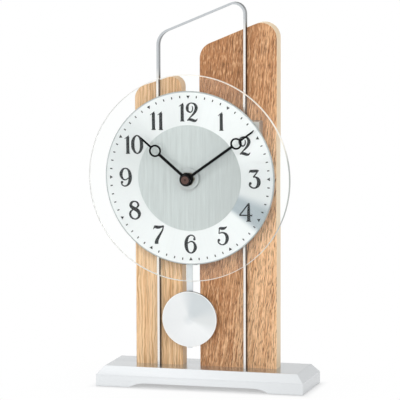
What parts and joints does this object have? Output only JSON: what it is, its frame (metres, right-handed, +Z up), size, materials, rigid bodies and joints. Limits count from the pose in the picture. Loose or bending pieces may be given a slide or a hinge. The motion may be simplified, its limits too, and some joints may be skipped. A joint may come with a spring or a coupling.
{
  "type": "desk pendulum clock",
  "caption": "Free-standing desk clock: round dial under a larger glass disc, slanted oak boards and a bent metal strip on a metal plinth, with a swinging pendulum.",
  "frame": {"origin": "on the table plane under the middle of the whole outline", "axes": "+Z up, +Y to the back, +X to the right as seen from the dial side"},
  "size_m": [0.1978, 0.0702, 0.344],
  "materials": {
    "plinth_metal": "satin silver, bevelled top",
    "felt": "matt black pad",
    "oak_left": "pale oak veneer, vertical grain",
    "oak_right": "warm oak veneer, vertical grain",
    "steel": "zinc-plated",
    "strip_metal": "satin silver",
    "silver_paint": "silver lacquer",
    "dial_silver": "satin silver",
    "dial_brushed": "vertically brushed",
    "clear_glass": "clear, polished edge",
    "brass": "dull",
    "hand_black": "satin black",
    "hub_bronze": "dark bronze",
    "bob_silver": "satin spun",
    "rod_silver": "satin",
    "case_black": "moulded, matt",
    "wheel_plastic": "moulded acetal",
    "knob_black": "moulded",
    "magnet": "ground",
    "copper": "enamelled copper winding",
    "pcb": "green board",
    "cell": "printed steel can, bare"
  },
  "bodies": {
    "stand": {"base_plinth": "plinth_metal", "foot_pads": "felt", "left_board": "oak_left", "right_board": "oak_right", "board_screws": "steel", "metal_strip": "strip_metal", "carrier_box": "silver_paint", "carrier_screws": "steel", "dial_plate": "dial_silver", "dial_centre_disc": "dial_brushed", "glass_disc": "clear_glass", "glass_washer": "dial_silver", "bushing_nut": "brass", "movement_case": "case_black", "movement_cover": "case_black", "movement_screws": "steel", "motor_stator": "steel", "motor_coil": "copper", "circuit_board": "pcb", "control_chip": "case_black", "quartz_crystal": "steel", "battery_contact_negative": "steel", "battery_contact_positive": "steel", "pendulum_pin": "steel", "pendulum_coil": "copper"},
    "minute_hand_group": {"minute_arbor": "steel", "minute_hand": "hand_black", "hand_nut": "hub_bronze"},
    "hour_hand_group": {"hour_wheel": "wheel_plastic", "hour_hand": "hand_black"},
    "motion_wheel_group": {"motion_wheel": "wheel_plastic"},
    "setting_group": {"setting_arbor": "steel", "setting_knob": "knob_black"},
    "intermediate_group": {"intermediate_wheel": "wheel_plastic"},
    "rotor_group": {"rotor": "magnet"},
    "second_group": {"second_wheel": "wheel_plastic"},
    "third_group": {"third_wheel": "wheel_plastic"},
    "centre_group": {"centre_wheel": "wheel_plastic"},
    "pendulum": {"pendulum_hanger": "case_black", "hanger_magnet": "magnet", "pendulum_rod": "rod_silver", "pendulum_bob": "bob_silver", "bob_clip": "steel"},
    "battery_cell": {"battery": "cell"}
  },
  "joints": [
    {"name": "minute_turn", "type": "hinge", "parent": "stand", "child": "minute_hand_group", "pos_m": [-0.007, 0.0021, 0.1883], "axis": [0, 1, 0], "continuous": true},
    {"name": "hour_turn", "type": "hinge", "parent": "stand", "child": "hour_hand_group", "pos_m": [-0.007, 0.0021, 0.1883], "axis": [0, 1, 0], "continuous": true},
    {"name": "motion_turn", "type": "hinge", "parent": "stand", "child": "motion_wheel_group", "pos_m": [0.00339, 0.0021, 0.1823], "axis": [0, 1, 0], "continuous": true},
    {"name": "setting_turn", "type": "hinge", "parent": "stand", "child": "setting_group", "pos_m": [0.0065, 0.0021, 0.19389], "axis": [0, 1, 0], "continuous": true},
    {"name": "intermediate_turn", "type": "hinge", "parent": "stand", "child": "intermediate_group", "pos_m": [-0.02227, 0.0021, 0.1784], "axis": [0, 1, 0], "continuous": true},
    {"name": "rotor_turn", "type": "hinge", "parent": "stand", "child": "rotor_group", "pos_m": [-0.01569, 0.0021, 0.17601], "axis": [0, 1, 0], "continuous": true},
    {"name": "second_turn", "type": "hinge", "parent": "stand", "child": "second_group", "pos_m": [-0.02357, 0.0021, 0.18579], "axis": [0, 1, 0], "continuous": true},
    {"name": "third_turn", "type": "hinge", "parent": "stand", "child": "third_group", "pos_m": [-0.01674, 0.0021, 0.19392], "axis": [0, 1, 0], "continuous": true},
    {"name": "centre_turn", "type": "hinge", "parent": "stand", "child": "centre_group", "pos_m": [-0.007, 0.0021, 0.1883], "axis": [0, 1, 0], "continuous": true},
    {"name": "pendulum_swing", "type": "hinge", "parent": "stand", "child": "pendulum", "pos_m": [-0.0092, 0.0021, 0.1658], "axis": [0, 1, 0], "range_deg": [-5, 5]},
    {"name": "battery_pull", "type": "slide", "parent": "stand", "child": "battery_cell", "axis": [0, 1, 0], "range_m": [0, 0.03]}
  ],
  "couplings": [
    {"joint": "motion_turn", "follows": "minute_turn", "ratio": -0.33333},
    {"joint": "hour_turn", "follows": "minute_turn", "ratio": 0.083333},
    {"joint": "setting_turn", "follows": "minute_turn", "ratio": 1},
    {"joint": "rotor_turn", "follows": "intermediate_turn", "ratio": -6},
    {"joint": "second_turn", "follows": "intermediate_turn", "ratio": -0.2},
    {"joint": "third_turn", "follows": "intermediate_turn", "ratio": 0.026667},
    {"joint": "centre_turn", "follows": "intermediate_turn", "ratio": -0.0033333}
  ]
}
